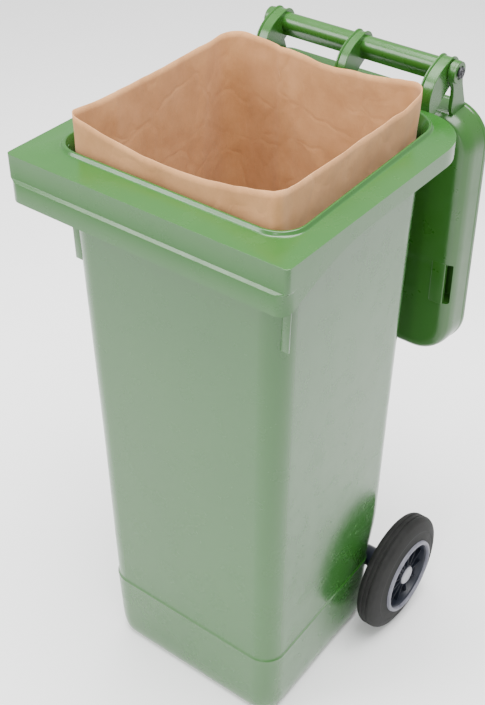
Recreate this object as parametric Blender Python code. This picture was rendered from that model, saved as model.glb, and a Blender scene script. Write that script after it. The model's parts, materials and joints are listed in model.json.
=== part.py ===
"""Two-wheeled wheelie bin with a hinged lid, a rear handle and a paper liner.

Units are metres, +Z is up and -Y is the front. The origin is on the floor, at the
middle of the bin's footprint. Places along Y are given as a distance behind the
collar's upper front face, and depth() turns such a distance into a Y coordinate.
Heights are above the tub's base, which the rim under it holds FOOT_HEIGHT over the floor.
"""
from math import cos, pi, radians, sin

import bmesh
import bpy
from mathutils import Matrix, Vector

# Overall
FRONT_FACE_Y = -0.26515
GAP = 0.0003
WALL = 0.003
FOOT_HEIGHT = 0.0065

# Extra half width of the tub at its front
TUB_SPREAD = 0.010

# Collar, the rim round the top of the bin
COLLAR_HALF_WIDTH = 0.2278
COLLAR_REAR = 0.4375
COLLAR_TOP = 0.9477
COLLAR_EDGE = 0.003
BAND_STEP = 0.0035
BAND_SPLIT = 0.9093
BAND_SLOPE = 0.003
LEAST_LOWER_BAND = 0.008
SKIRT_FRONT_BOTTOM = 0.8795
SKIRT_SIDE_RISE = 0.0425
SKIRT_RISE_LENGTH = 0.170
LIP_HEIGHT = 0.0054

# Ribs beside the tub's front corners, as (height, start, end) across the bin
RIB_DEPTH = 0.068
RIB_THICKNESS = 0.0032
RIB_ROWS = (
    (0.7680, 0.1720, 0.1845),
    (0.8080, 0.1734, 0.1855),
    (0.9459, 0.1783, 0.1900),
)

# Corner and side divisions of every loop round the bin and the lid
CORNER_STEPS = 5
SIDE_STEPS = 8

# Wheels, on one axle across the back
AXLE_DEPTH = 0.3914
AXLE_HEIGHT = 0.100
AXLE_RADIUS = 0.010
AXLE_HALF_LENGTH = 0.219
GROOVE_RADIUS = 0.008
GROOVE_X = 0.203
WHEEL_RADIUS = AXLE_HEIGHT + FOOT_HEIGHT
BORE_RADIUS = 0.0106
LUG_OUTER = 0.1313
WASHER_THICKNESS = 0.0020
WHEEL_STEPS = 36

# Hinge line of the lid, which is also the middle of the handle bar
HINGE_DEPTH = 0.4933
HINGE_HEIGHT = 0.989
BAR_RADIUS = 0.014
PIN_RADIUS = 0.005
PIN_BORE = 0.0055
BRACKET_OUTER = 0.151
BRACKET_WIDTH = 0.020

# Sharp folds at the front of the paper liner
LINER_FRONT_RADIUS = 0.012

# Closed lid, measured from the hinge line
LID_HALF_WIDTH = 0.200
LID_FRONT = -0.487
LID_REAR = -0.0593
LID_RIM = -0.0405
LID_FRONT_RADIUS = 0.066
LID_REAR_RADIUS = 0.058
LEAST_LID_RADIUS = 0.020

GREEN = (0.13, 0.30, 0.12, 1.0)
RUBBER = (0.030, 0.030, 0.028, 1.0)
DARK_PLASTIC = (0.022, 0.026, 0.040, 1.0)
GREY_PLASTIC = (0.28, 0.27, 0.31, 1.0)
STEEL = (0.55, 0.56, 0.58, 1.0)
KRAFT = (0.64, 0.40, 0.23, 1.0)


def depth(behind_front):
    """Y coordinate of a point this far behind the collar's upper front face."""
    return FRONT_FACE_Y + behind_front


def clear_scene():
    for item in list(bpy.data.objects):
        bpy.data.objects.remove(item, do_unlink=True)


def make_material(name, colour, roughness, metallic=0.0):
    material = bpy.data.materials.new(name)
    material.use_nodes = True
    shader = material.node_tree.nodes["Principled BSDF"]
    shader.inputs["Base Color"].default_value = colour
    shader.inputs["Roughness"].default_value = roughness
    shader.inputs["Metallic"].default_value = metallic
    return material


def add_object(name, mesh, material=None, location=(0, 0, 0), rotation=(0, 0, 0), parent=None):
    """Object made from a bmesh, with its own material and its faces pointing outwards."""
    bmesh.ops.recalc_face_normals(mesh, faces=mesh.faces)
    data = bpy.data.meshes.new(name)
    mesh.to_mesh(data)
    mesh.free()
    data.shade_smooth()
    data.set_sharp_from_angle(angle=radians(35))
    item = bpy.data.objects.new(name, data)
    if material:
        data.materials.append(material)
    item.location = location
    item.rotation_euler = rotation
    item.parent = parent
    bpy.context.collection.objects.link(item)
    return item


def add_empty(name, location, parent=None):
    item = bpy.data.objects.new(name, None)
    item.empty_display_size = 0.05
    item.location = location
    item.parent = parent
    bpy.context.collection.objects.link(item)
    return item


def shape_with(target, tool, operation):
    """Add the tool to the target, or cut it away, and hide the tool."""
    modifier = target.modifiers.new(tool.name, "BOOLEAN")
    modifier.operation = operation
    modifier.solver = "EXACT"
    modifier.object = tool
    tool.hide_render = True
    tool.display_type = "WIRE"


def rounded_loop(half_width, front, rear, front_radius, rear_radius, height, spread=0.0):
    """Rectangle with round corners, seen from above; height is a number or a rule f(y).

    spread is how much the half width grows from the rear to the front.
    """
    corners = (
        (half_width - rear_radius, rear - rear_radius, rear_radius, 0),
        (rear_radius - half_width, rear - rear_radius, rear_radius, 90),
        (front_radius - half_width, front + front_radius, front_radius, 180),
        (half_width - front_radius, front + front_radius, front_radius, 270),
    )
    points = []
    for number, (x, y, radius, start) in enumerate(corners):
        for step in range(CORNER_STEPS + 1):
            angle = radians(start + 90 * step / CORNER_STEPS)
            points.append((x + radius * cos(angle), y + radius * sin(angle)))
        side_start = points[-1]
        side_ends = {1: (-half_width, front + front_radius), 3: (half_width, rear - rear_radius)}
        if number in side_ends:
            for step in range(1, SIDE_STEPS):
                part = step / SIDE_STEPS
                along = side_start[1] + (side_ends[number][1] - side_start[1]) * part
                points.append((side_start[0], along))
    rule = height if callable(height) else lambda y: height
    loop = []
    for x, y in points:
        widening = 1 + spread / half_width * (rear - y) / (rear - front)
        loop.append(Vector((x * widening, y, rule(y))))
    return loop


def loft(loops, closed=False):
    """Skin a row of loops of equal length; the ends are capped unless the row is closed."""
    mesh = bmesh.new()
    rows = [[mesh.verts.new(point) for point in loop] for loop in loops]
    pairs = list(zip(rows, rows[1:]))
    if closed:
        pairs.append((rows[-1], rows[0]))
    count = len(rows[0])
    for lower, upper in pairs:
        for index in range(count):
            after = (index + 1) % count
            mesh.faces.new((lower[index], lower[after], upper[after], upper[index]))
    if not closed:
        mesh.faces.new(list(reversed(rows[0])))
        mesh.faces.new(rows[-1])
    return mesh


def circle_loop(x, radius, steps):
    """Circle round the X axis, with one corner straight down."""
    angles = [2 * pi * step / steps - pi / 2 for step in range(steps)]
    return [Vector((x, radius * cos(angle), radius * sin(angle))) for angle in angles]


def turned(profile, steps, closed=False):
    """Solid of revolution round X, from a profile of (x, radius) points."""
    return loft([circle_loop(x, radius, steps) for x, radius in profile], closed)


def box(low, high):
    mesh = bmesh.new()
    bmesh.ops.create_cube(mesh, size=1.0)
    size = Vector(high) - Vector(low)
    bmesh.ops.scale(mesh, vec=size, verts=mesh.verts)
    bmesh.ops.translate(mesh, vec=(Vector(low) + Vector(high)) / 2, verts=mesh.verts)
    return mesh


def plate(outline, x_low, x_high):
    """Flat plate across X, from an outline of (y, z) points."""
    return loft([[Vector((x, y, z)) for y, z in outline] for x in (x_low, x_high)])


def mirrored(mesh, side):
    """The same mesh on the right (+1) or the left (-1)."""
    if side < 0:
        bmesh.ops.transform(mesh, matrix=Matrix.Scale(-1, 4, (1, 0, 0)), verts=mesh.verts)
    return mesh


def arc(centre, radius, start, end, steps):
    """Points on a round stretch of an outline; the angles are in degrees."""
    angles = [radians(start + (end - start) * step / steps) for step in range(steps + 1)]
    return [(centre[0] + radius * cos(angle), centre[1] + radius * sin(angle)) for angle in angles]


# ---------------------------------------------------------------- bin body


def skirt_bottom(y):
    """Lower edge of the skirt: lowest at the front, rising to its full height on the sides."""
    part = min(max((y - depth(0)) / SKIRT_RISE_LENGTH, 0), 1)
    return SKIRT_FRONT_BOTTOM + SKIRT_SIDE_RISE * sin(pi / 2 * part)


def band_split(y):
    """Height of the small step between the two bands of the skirt."""
    return max(BAND_SPLIT, skirt_bottom(y) + LEAST_LOWER_BAND)


def band_top(y):
    return band_split(y) + BAND_SLOPE


def body_loops():
    """Loops from the inside floor, up and over the lip, round the skirt and down to the base."""

    def loop(height, half_width, front, rear, front_radius, rear_radius, spread=0.0):
        radii = (front_radius, rear_radius)
        return rounded_loop(half_width, depth(front), depth(rear), *radii, height, spread)

    def tub(*row):
        return loop(*row, TUB_SPREAD)

    half = COLLAR_HALF_WIDTH
    rear = COLLAR_REAR
    top = COLLAR_TOP
    under = top - 0.0036
    inside = [
        tub(0.0035, 0.1400, 0.0800, 0.3530, 0.024, 0.020),
        tub(0.0100, 0.1510, 0.0700, 0.3620, 0.028, 0.027),
        tub(0.0210, 0.1558, 0.0662, 0.3650, 0.032, 0.028),
        tub(0.1290, 0.1577, 0.0650, 0.3690, 0.033, 0.029),
        tub(0.2190, 0.1590, 0.0640, 0.4010, 0.033, 0.042),
        tub(0.4440, 0.1620, 0.0620, 0.4045, 0.033, 0.042),
        tub(0.8080, 0.1695, 0.0570, 0.4090, 0.033, 0.043),
        tub(0.9380, 0.1730, 0.0555, 0.4125, 0.033, 0.043),
        tub(top + 0.0035, 0.1795, 0.0515, 0.4195, 0.037, 0.046),
    ]
    collar = [
        tub(top + LIP_HEIGHT, 0.1812, 0.0500, 0.4212, 0.038, 0.047),
        tub(top + LIP_HEIGHT, 0.1830, 0.0478, 0.4235, 0.040, 0.049),
        tub(top, 0.1860, 0.0440, 0.4270, 0.042, 0.052),
        loop(top, half - COLLAR_EDGE, COLLAR_EDGE, rear - COLLAR_EDGE, 0.0045, 0.077),
        loop(top - COLLAR_EDGE, half, 0.0, rear, 0.0065, 0.080),
        loop(band_top, half, 0.0, rear, 0.0065, 0.080),
        loop(band_split, half, -BAND_STEP, rear, 0.018, 0.080),
        loop(skirt_bottom, half, -BAND_STEP, rear, 0.018, 0.080),
        loop(skirt_bottom, half - WALL, WALL - BAND_STEP, rear - WALL, 0.015, 0.077),
        loop(under, half - WALL, WALL, rear - WALL, 0.010, 0.077),
    ]
    outside = [
        tub(under, 0.1772, 0.0522, 0.4166, 0.036, 0.046),
        tub(0.9350, 0.1760, 0.0525, 0.4155, 0.036, 0.046),
        tub(0.8080, 0.1725, 0.0540, 0.4120, 0.036, 0.046),
        tub(0.4440, 0.1650, 0.0590, 0.4075, 0.036, 0.045),
        tub(0.2155, 0.1620, 0.0610, 0.4040, 0.036, 0.045),
        tub(0.1375, 0.1608, 0.0620, 0.3762, 0.036, 0.032),
        tub(0.1351, 0.1627, 0.0602, 0.3752, 0.037, 0.032),
        tub(0.1250, 0.1624, 0.0604, 0.3720, 0.037, 0.030),
        tub(0.0180, 0.1592, 0.0630, 0.3690, 0.036, 0.028),
        tub(0.0060, 0.1565, 0.0655, 0.3665, 0.035, 0.026),
        tub(0.0000, 0.1515, 0.0690, 0.3620, 0.033, 0.023),
        tub(0.0000, 0.1465, 0.0735, 0.3580, 0.030, 0.020),
        tub(-FOOT_HEIGHT, 0.1455, 0.0745, 0.3570, 0.029, 0.019),
        tub(-FOOT_HEIGHT, 0.1300, 0.0900, 0.3420, 0.018, 0.010),
        tub(0.0000, 0.1290, 0.0910, 0.3410, 0.018, 0.010),
    ]
    return inside + collar + outside


def corner_rib(side):
    """Upright plate under the collar's front corner, from inside the tub's wall outwards."""
    near = depth(RIB_DEPTH) - RIB_THICKNESS / 2
    far = near + RIB_THICKNESS
    loops = []
    for height, start, end in RIB_ROWS:
        corners = ((start, near), (end, near), (end, far), (start, far))
        loops.append([Vector((x, y, height)) for x, y in corners])
    return mirrored(loft(loops), side)


def make_body(material, stand):
    body = add_object("bin_body", loft(body_loops()), material, parent=stand)

    def tool(name, mesh, operation):
        shape_with(body, add_object(name, mesh, parent=stand), operation)

    lug_outline = arc((depth(AXLE_DEPTH), AXLE_HEIGHT), 0.0175, -90, 90, 8)
    lug_outline += [(depth(0.3695), AXLE_HEIGHT + 0.030), (depth(0.3695), AXLE_HEIGHT - 0.0175)]
    for side, name in ((1, "right"), (-1, "left")):
        tool("lug_guide_" + name, mirrored(plate(lug_outline, 0.1160, LUG_OUTER), side), "UNION")
        tool("rib_guide_" + name, corner_rib(side), "UNION")
    bore = turned([(-0.20, AXLE_RADIUS + 2 * GAP), (0.20, AXLE_RADIUS + 2 * GAP)], 24)
    bmesh.ops.translate(bore, vec=(0, depth(AXLE_DEPTH), AXLE_HEIGHT), verts=bore.verts)
    tool("axle_bore_cutter", bore, "DIFFERENCE")


# ---------------------------------------------------------------- handle


def bracket_outline(grow):
    """Side view of a handle bracket round the hinge line; grow makes the flanges larger."""
    front = [
        (-0.0553, -0.0660),
        (-0.0553, -0.0415),
        (-0.0548 - grow, -0.0300),
        (-0.0520 - grow, -0.0180 + grow / 2),
        (-0.0460 - grow, -0.0060 + grow),
        (-0.0360 - grow / 2, 0.0040 + grow),
        (-0.0240 - grow / 2, 0.0105 + grow),
    ]
    eye = arc((0, 0), 0.0176 + grow, 112, -75, 12)
    return front + eye + [(-0.0200, -0.0330 - grow), (-0.0440, -0.0550 - grow / 2)]


def make_bracket(name, x_low, x_high, material, hinge):
    flange = 0.0025
    sections = (
        (x_low, 0.0018),
        (x_low + flange, 0.0018),
        (x_low + flange, 0.0),
        (x_high - flange, 0.0),
        (x_high - flange, 0.0018),
        (x_high, 0.0018),
    )
    loops = [[Vector((x, y, z)) for y, z in bracket_outline(grow)] for x, grow in sections]
    bracket = add_object(name, loft(loops), material, parent=hinge)
    bore = turned([(x_low - 0.01, BAR_RADIUS + 2 * GAP), (x_high + 0.01, BAR_RADIUS + 2 * GAP)], 24)
    cutter = add_object(name + "_cutter", bore, parent=hinge)
    shape_with(bracket, cutter, "DIFFERENCE")


def make_handle(material, pin_material, stand):
    hinge = add_empty("hinge_line", (0, depth(HINGE_DEPTH), HINGE_HEIGHT), stand)
    bore_bottom = BRACKET_OUTER - 0.024
    bar_profile = [
        (bore_bottom, PIN_BORE),
        (BRACKET_OUTER, PIN_BORE),
        (BRACKET_OUTER, BAR_RADIUS),
        (-BRACKET_OUTER, BAR_RADIUS),
        (-BRACKET_OUTER, PIN_BORE),
        (-bore_bottom, PIN_BORE),
    ]
    add_object("handle_bar", turned(bar_profile, 24), material, parent=hinge)
    bracket_inner = BRACKET_OUTER - BRACKET_WIDTH
    make_bracket("handle_bracket_right", bracket_inner, BRACKET_OUTER, material, hinge)
    make_bracket("handle_bracket_centre", -0.0085, 0.0085, material, hinge)
    make_bracket("handle_bracket_left", -BRACKET_OUTER, -bracket_inner, material, hinge)
    for side, name in ((1, "right"), (-1, "left")):
        pin_profile = [
            (BRACKET_OUTER - 0.021, PIN_RADIUS - 0.001),
            (BRACKET_OUTER - 0.020, PIN_RADIUS),
            (0.1646, PIN_RADIUS),
            (0.1646, 0.0082),
            (0.1664, 0.0082),
            (0.1678, 0.0064),
        ]
        mesh = mirrored(turned(pin_profile, 20), side)
        add_object("hinge_pin_" + name, mesh, pin_material, parent=hinge)
    return hinge


# ---------------------------------------------------------------- lid


def lid_loops():
    """Shell of the closed lid about the hinge line, from its inside over the rim to its top."""

    def loop(height, inset):
        size = (LID_HALF_WIDTH - inset, LID_FRONT + inset, LID_REAR - inset)
        front_radius = max(LID_FRONT_RADIUS - inset, LEAST_LID_RADIUS)
        rear_radius = max(LID_REAR_RADIUS - inset, LEAST_LID_RADIUS)
        return rounded_loop(*size, front_radius, rear_radius, height)

    inside = [
        loop(0.0100, 0.1000),
        loop(0.0085, 0.0205),
        loop(0.0065, 0.0130),
        loop(0.0020, 0.0082),
        loop(-0.0060, 0.0055),
        loop(LID_RIM, 0.0030),
    ]
    outside = [
        loop(LID_RIM, 0.0),
        loop(-0.0050, 0.0025),
        loop(0.0040, 0.0055),
        loop(0.0090, 0.0110),
        loop(0.0115, 0.0200),
        loop(0.0130, 0.1000),
    ]
    return inside + outside


# Outside of the grip's pan across the lid, as (x, z) about the hinge
PAN_SECTION = (
    (0.1635, -0.0210),
    (0.1965, -0.0210),
    (0.1965, -0.0050),
    (0.1890, 0.0065),
    (0.1800, 0.0098),
    (0.1635, 0.0103),
)


def make_lid(material, hinge):
    """The lid hangs open behind the bin: its closed shape turned a quarter about the hinge."""
    hanging = (pi / 2, 0, 0)
    lid = add_object("lid", loft(lid_loops()), material, rotation=hanging, parent=hinge)

    def tool(name, mesh, side, operation):
        item = add_object(name, mirrored(mesh, side), rotation=hanging, parent=hinge)
        shape_with(lid, item, operation)

    arm_outline = arc((0, 0), 0.0162, 95, -95, 12)
    arm_outline += [
        (-0.0200, -0.0185),
        (-0.0420, -0.0260),
        (-0.0520, -0.0300),
        (-0.0635, -0.0335),
        (-0.0672, 0.0000),
        (-0.0520, 0.0065),
        (-0.0360, 0.0050),
        (-0.0180, 0.0090),
    ]
    grip_front = -0.3760
    grip_rear = -0.3040
    for side, name in ((1, "right"), (-1, "left")):
        tool("arm_guide_" + name, plate(arm_outline, 0.1540, 0.1600), side, "UNION")
        boss = turned([(0.1525, 0.0158), (0.1638, 0.0158)], 24)
        tool("boss_guide_" + name, boss, side, "UNION")
        bore = turned([(0.1450, PIN_BORE), (0.1720, PIN_BORE)], 20)
        tool("pin_cutter_" + name, bore, side, "DIFFERENCE")
        pan_ends = (grip_front - WALL, grip_rear + WALL)
        pan = loft([[Vector((x, y, z)) for x, z in PAN_SECTION] for y in pan_ends])
        tool("grip_pan_guide_" + name, pan, side, "UNION")
        recess = box((0.1665, grip_front, -0.0180), (0.1930, grip_rear, 0.0400))
        tool("grip_recess_cutter_" + name, recess, side, "DIFFERENCE")
        strap = box((0.1600, grip_front - 0.001, 0.0060), (0.1835, grip_rear + 0.001, 0.0135))
        tool("grip_strap_guide_" + name, strap, side, "UNION")


# ---------------------------------------------------------------- wheels


def tyre_profile():
    return [
        (0.1857, 0.0702),
        (0.1845, 0.0790),
        (0.1845, 0.0960),
        (0.1880, 0.1035),
        (0.1935, WHEEL_RADIUS),
        (0.2120, WHEEL_RADIUS),
        (0.2180, 0.1030),
        (0.2232, 0.0915),
        (0.2262, 0.0705),
        (0.2262, 0.0664),
        (0.1857, 0.0664),
    ]


def rim_profile():
    boss_end = LUG_OUTER + WASHER_THICKNESS + 4 * GAP
    return [
        (boss_end, BORE_RADIUS),
        (boss_end, 0.0165),
        (boss_end + 0.001, 0.0175),
        (0.1980, 0.0190),
        (0.2010, 0.0300),
        (0.2010, 0.0580),
        (0.1880, 0.0620),
        (0.1880, 0.0660),
        (0.2300, 0.0660),
        (0.2312, 0.0648),
        (0.2312, 0.0620),
        (0.2280, 0.0600),
        (0.2080, 0.0570),
        (0.2080, 0.0300),
        (0.2130, 0.0190),
        (0.2222, 0.0175),
        (0.2222, BORE_RADIUS),
    ]


def coil(radius, wire_radius, bottom, top, turns):
    """Compression spring along Z, from a wire of six sides."""
    mesh = bmesh.new()
    steps = 12 * turns
    sides = 6
    rows = []
    for step in range(steps + 1):
        angle = 2 * pi * turns * step / steps
        height = bottom + wire_radius + (top - bottom - 2 * wire_radius) * step / steps
        row = []
        for corner in range(sides):
            turn = 2 * pi * corner / sides
            reach = radius + wire_radius * cos(turn)
            place = (reach * cos(angle), reach * sin(angle), height + wire_radius * sin(turn))
            row.append(mesh.verts.new(place))
        rows.append(row)
    for lower, upper in zip(rows, rows[1:]):
        for corner in range(sides):
            after = (corner + 1) % sides
            mesh.faces.new((lower[corner], lower[after], upper[after], upper[corner]))
    mesh.faces.new(list(reversed(rows[0])))
    mesh.faces.new(rows[-1])
    return mesh


def upright(profile, steps):
    """Solid of revolution round Z, from a profile of (z, radius) points."""
    mesh = turned(profile, steps)
    bmesh.ops.rotate(mesh, cent=(0, 0, 0), matrix=Matrix.Rotation(-pi / 2, 3, "Y"), verts=mesh.verts)
    return mesh


def make_wheel(side, name, materials, stand):
    centre = add_empty("wheel_centre_" + name, (0, depth(AXLE_DEPTH), AXLE_HEIGHT), stand)
    tyre = mirrored(turned(tyre_profile(), WHEEL_STEPS, closed=True), side)
    add_object("tyre_" + name, tyre, materials["rubber"], parent=centre)

    rim_mesh = mirrored(turned(rim_profile(), WHEEL_STEPS, closed=True), side)
    rim = add_object("wheel_rim_" + name, rim_mesh, materials["dark"], parent=centre)
    tower = mirrored(box((GROOVE_X - 0.0070, -0.0070, 0.0150), (GROOVE_X + 0.0070, 0.0070, 0.0395)), side)
    tower_guide = add_object("lock_tower_guide_" + name, tower, parent=centre)
    shape_with(rim, tower_guide, "UNION")
    chamber = upright([(0.0050, 0.0046), (0.0365, 0.0046)], 16)
    chamber_cutter = add_object(
        "lock_chamber_cutter_" + name, chamber, location=(side * GROOVE_X, 0, 0), parent=centre
    )
    shape_with(rim, chamber_cutter, "DIFFERENCE")

    pin_profile = [(0.0088, 0.0026), (0.0100, 0.0036), (0.0200, 0.0036)]
    add_object(
        "lock_pin_" + name, upright(pin_profile, 16), materials["steel"],
        location=(side * GROOVE_X, 0, 0), parent=centre,
    )
    add_object(
        "lock_spring_" + name, coil(0.0031, 0.0005, 0.0204, 0.0361, 5), materials["steel"],
        location=(side * GROOVE_X, 0, 0), parent=centre,
    )
    cap_profile = [
        (0.2205, 0.0094),
        (0.2226, 0.0094),
        (0.2226, 0.0168),
        (0.2244, 0.0168),
        (0.2262, 0.0145),
    ]
    cap = mirrored(turned(cap_profile, 28), side)
    add_object("hub_cap_" + name, cap, materials["grey"], parent=centre)
    inner_face = LUG_OUTER + 2 * GAP
    outer_face = inner_face + WASHER_THICKNESS
    washer_profile = [
        (inner_face, BORE_RADIUS),
        (inner_face, 0.0160),
        (outer_face, 0.0160),
        (outer_face, BORE_RADIUS),
    ]
    washer = mirrored(turned(washer_profile, 28, closed=True), side)
    add_object("axle_washer_" + name, washer, materials["steel"], parent=centre)


def make_axle(material, stand):
    half_groove = 0.0048
    chamfer = 0.0012
    right = [
        (GROOVE_X - half_groove, AXLE_RADIUS),
        (GROOVE_X - half_groove, GROOVE_RADIUS),
        (GROOVE_X + half_groove, GROOVE_RADIUS),
        (GROOVE_X + half_groove, AXLE_RADIUS),
        (AXLE_HALF_LENGTH - chamfer, AXLE_RADIUS),
        (AXLE_HALF_LENGTH, AXLE_RADIUS - chamfer),
    ]
    left = [(-x, radius) for x, radius in reversed(right)]
    middle = (0, depth(AXLE_DEPTH), AXLE_HEIGHT)
    add_object("axle", turned(left + right, 24), material, location=middle, parent=stand)


# ---------------------------------------------------------------- paper liner


def make_liner(material, stand):
    """Open paper sack standing in the bin, with its mouth above the collar."""
    paper = 0.0012
    sections = (
        (0.0200, 0.1470, 0.0740, 0.3560, 0.032),
        (0.1300, 0.1530, 0.0690, 0.3625, 0.034),
        (0.2400, 0.1555, 0.0680, 0.3950, 0.036),
        (0.8080, 0.1665, 0.0615, 0.4040, 0.036),
        (0.9400, 0.1705, 0.0600, 0.4060, 0.034),
        (0.9980, 0.1725, 0.0590, 0.4060, 0.024),
    )

    def loops(inset):
        rows = []
        for height, half, front, rear, radius in sections:
            size = (half - inset, depth(front + inset), depth(rear - inset))
            rows.append(rounded_loop(*size, LINER_FRONT_RADIUS, radius, height))
        return rows

    inside = loops(paper)
    floor = [point + Vector((0, 0, paper)) for point in inside[0]]
    sack = loft([floor] + inside[1:] + loops(0.0)[::-1])
    add_object("paper_liner", sack, material, parent=stand)


def main():
    clear_scene()
    green = make_material("green_plastic", GREEN, 0.32)
    lid_green = make_material("lid_plastic", GREEN, 0.30)
    handle_green = make_material("handle_plastic", GREEN, 0.32)
    materials = {
        "rubber": make_material("tyre_rubber", RUBBER, 0.75),
        "dark": make_material("rim_plastic", DARK_PLASTIC, 0.40),
        "grey": make_material("cap_plastic", GREY_PLASTIC, 0.45),
        "steel": make_material("zinc_steel", STEEL, 0.35, 1.0),
    }
    stand = add_empty("standing_height", (0, 0, FOOT_HEIGHT))
    make_body(green, stand)
    hinge = make_handle(handle_green, materials["dark"], stand)
    make_lid(lid_green, hinge)
    make_axle(materials["steel"], stand)
    for side, name in ((1, "right"), (-1, "left")):
        make_wheel(side, name, materials, stand)
    make_liner(make_material("kraft_paper", KRAFT, 0.85), stand)


main()
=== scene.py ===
"""Looks of the wheelie bin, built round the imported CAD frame. Units are metres, +Z up, -Y the front."""
import json
from math import cos, exp, hypot, pi, radians, sin

import bmesh
import bpy
from mathutils import Matrix, Vector, noise


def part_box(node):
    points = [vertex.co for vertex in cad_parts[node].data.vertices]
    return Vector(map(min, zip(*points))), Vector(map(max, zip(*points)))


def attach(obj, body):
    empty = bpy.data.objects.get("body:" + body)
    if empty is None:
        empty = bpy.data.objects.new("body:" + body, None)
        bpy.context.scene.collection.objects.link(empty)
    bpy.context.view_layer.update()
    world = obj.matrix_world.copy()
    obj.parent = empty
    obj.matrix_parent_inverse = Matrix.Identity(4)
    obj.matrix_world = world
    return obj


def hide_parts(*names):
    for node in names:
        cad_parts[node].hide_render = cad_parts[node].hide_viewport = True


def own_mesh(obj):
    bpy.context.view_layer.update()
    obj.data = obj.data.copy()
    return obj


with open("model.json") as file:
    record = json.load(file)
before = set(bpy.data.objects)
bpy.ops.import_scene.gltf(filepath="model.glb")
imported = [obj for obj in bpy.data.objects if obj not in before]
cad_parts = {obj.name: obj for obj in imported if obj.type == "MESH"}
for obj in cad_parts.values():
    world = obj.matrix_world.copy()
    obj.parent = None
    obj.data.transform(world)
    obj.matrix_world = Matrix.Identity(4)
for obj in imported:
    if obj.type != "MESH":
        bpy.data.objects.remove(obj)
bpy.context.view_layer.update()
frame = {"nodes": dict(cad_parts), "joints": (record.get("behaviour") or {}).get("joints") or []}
joints = {joint["name"]: joint for joint in frame["joints"]}

# Places read from the frame, with the few CAD dimensions that its boxes don't give
HINGE = Vector(joints["lid_hinge"]["pos_m"])
AXLE = Vector(joints["wheel_right_spin"]["pos_m"])
BODY_LOW, BODY_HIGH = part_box("bin_body")
BAND_STEP = 0.0035
FRONT = BODY_LOW[1] + BAND_STEP
COLLAR_HALF = BODY_HIGH[0]
COLLAR_REAR = BODY_HIGH[1] - FRONT
LIP_TOP = BODY_HIGH[2]
LIP_HEIGHT = 0.0054
COLLAR_TOP = LIP_TOP - LIP_HEIGHT
FOOT_HEIGHT = 0.0065
TUB_SPREAD = 0.010
LINER_LOW, LINER_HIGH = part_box("paper_liner")

# Skirt under the collar
WALL = 0.003
SKIRT_FRONT_BOTTOM = 0.8795
SKIRT_SIDE_RISE = 0.0425
SKIRT_RISE_LENGTH = 0.170
BAND_SPLIT = 0.9093

# Ribs beside the tub's front corners: place and thickness along the bin, then each row's
# height, start and end across it
RIB_DEPTH = 0.0664
RIB_THICKNESS = 0.0032
RIB_ROWS = (
    (0.7680, 0.1720, 0.1845),
    (0.8080, 0.1734, 0.1855),
    (0.9459, 0.1783, 0.1900),
)

# Faces of the right axle lug, and the bores of lug and wheel
LUG_INNER = 0.1160
LUG_OUTER = 0.1312
BORE_RADIUS = 0.0106

# Handle brackets: faces of the outer ones, and half the width of the one in the middle
BRACKET_INNER = 0.1310
BRACKET_OUTER = 0.1510
BRACKET_CENTRE_HALF = 0.0085

# Divisions of the loops round the bin and the lid
CORNER_STEPS = 14
SIDE_STEPS = 40
FILLET_STEPS = 4


# ---------------------------------------------------------------- meshes


def add_piece(name, mesh, body, material, replaces=(), sharp=32):
    """Piece of the object from a bmesh: it rides on a CAD body and has one material."""
    bmesh.ops.recalc_face_normals(mesh, faces=mesh.faces)
    data = bpy.data.meshes.new(name)
    mesh.to_mesh(data)
    mesh.free()
    data.materials.append(material)
    data.shade_smooth()
    data.set_sharp_from_angle(angle=radians(sharp))
    piece = bpy.data.objects.new(name, data)
    bpy.context.collection.objects.link(piece)
    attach(piece, body)
    if replaces:
        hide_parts(*replaces)
    return piece


def loft(loops, closed=False, capped=True):
    """Skin a row of loops of equal length."""
    mesh = bmesh.new()
    rows = [[mesh.verts.new(point) for point in loop] for loop in loops]
    pairs = list(zip(rows, rows[1:]))
    if closed:
        pairs.append((rows[-1], rows[0]))
    count = len(rows[0])
    for lower, upper in pairs:
        for index in range(count):
            after = (index + 1) % count
            mesh.faces.new((lower[index], lower[after], upper[after], upper[index]))
    if capped and not closed:
        mesh.faces.new(list(reversed(rows[0])))
        mesh.faces.new(rows[-1])
    return mesh


def rounded_outline(half_width, front, rear, front_radius, rear_radius, spread=0.0):
    """Rectangle with round corners as (x, y) points, anticlockwise from the right rear corner.

    spread is how much the half width grows from the rear to the front.
    """
    corners = (
        (half_width - rear_radius, rear - rear_radius, rear_radius, 0),
        (rear_radius - half_width, rear - rear_radius, rear_radius, 90),
        (front_radius - half_width, front + front_radius, front_radius, 180),
        (half_width - front_radius, front + front_radius, front_radius, 270),
    )
    ends = (
        (rear_radius - half_width, rear),
        (-half_width, front + front_radius),
        (half_width - front_radius, front),
        (half_width, rear - rear_radius),
    )
    points = []
    for (x, y, radius, start), (x_end, y_end) in zip(corners, ends):
        for step in range(CORNER_STEPS + 1):
            angle = radians(start + 90 * step / CORNER_STEPS)
            points.append((x + radius * cos(angle), y + radius * sin(angle)))
        x_start, y_start = points[-1]
        for step in range(1, SIDE_STEPS):
            part = step / SIDE_STEPS
            points.append((x_start + (x_end - x_start) * part, y_start + (y_end - y_start) * part))
    growth = spread / half_width / (rear - front)
    return [(x * (1 + growth * (rear - y)), y) for x, y in points]


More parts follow.
